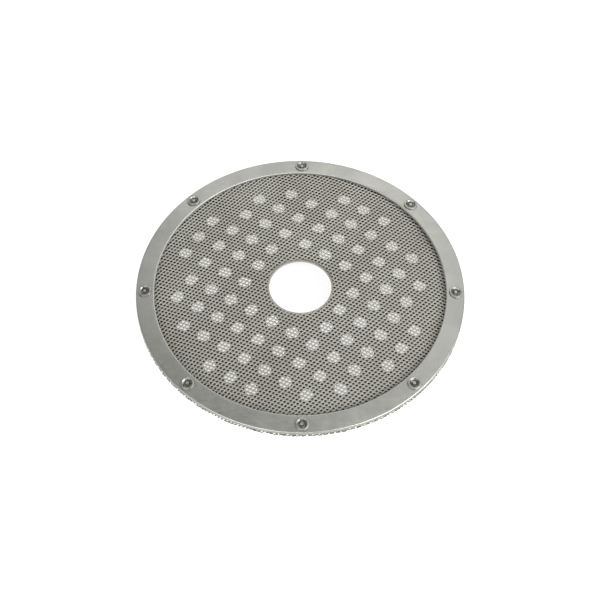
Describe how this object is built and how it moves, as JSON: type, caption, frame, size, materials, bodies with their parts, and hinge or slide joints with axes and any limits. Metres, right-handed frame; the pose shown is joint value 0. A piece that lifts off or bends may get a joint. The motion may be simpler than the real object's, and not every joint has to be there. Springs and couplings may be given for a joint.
{
  "type": "burner assembly",
  "caption": "Round dished gas burner head: perforated port plate under an expanded-metal mesh, held by a riveted clamp ring, with an open centre hole.",
  "frame": {"origin": "on the head's axis, level with the lowest points, the mandrel heads of the rivets", "axes": "+Z along the head's axis towards the flame side; +X towards the first rivet"},
  "size_m": [0.16, 0.16, 0.014],
  "materials": {
    "clamp_ring": "satin stainless steel",
    "mesh_screen": "expanded heat-resistant steel",
    "port_plate": "dark oxidised sheet steel",
    "backing_ring": "mill-finish stainless steel",
    "rivet_body": "bright rivet steel",
    "rivet_mandrel": "snapped mandrel, dull"
  },
  "bodies": {
    "root": {"clamp_ring": "clamp_ring", "mesh_screen": "mesh_screen", "port_plate": "port_plate", "backing_ring": "backing_ring", "rivet_body_1": "rivet_body", "rivet_body_2": "rivet_body", "rivet_body_3": "rivet_body", "rivet_body_4": "rivet_body", "rivet_body_5": "rivet_body", "rivet_body_6": "rivet_body", "rivet_body_7": "rivet_body", "rivet_body_8": "rivet_body", "rivet_mandrel_1": "rivet_mandrel", "rivet_mandrel_2": "rivet_mandrel", "rivet_mandrel_3": "rivet_mandrel", "rivet_mandrel_4": "rivet_mandrel", "rivet_mandrel_5": "rivet_mandrel", "rivet_mandrel_6": "rivet_mandrel", "rivet_mandrel_7": "rivet_mandrel", "rivet_mandrel_8": "rivet_mandrel"}
  },
  "joints": []
}
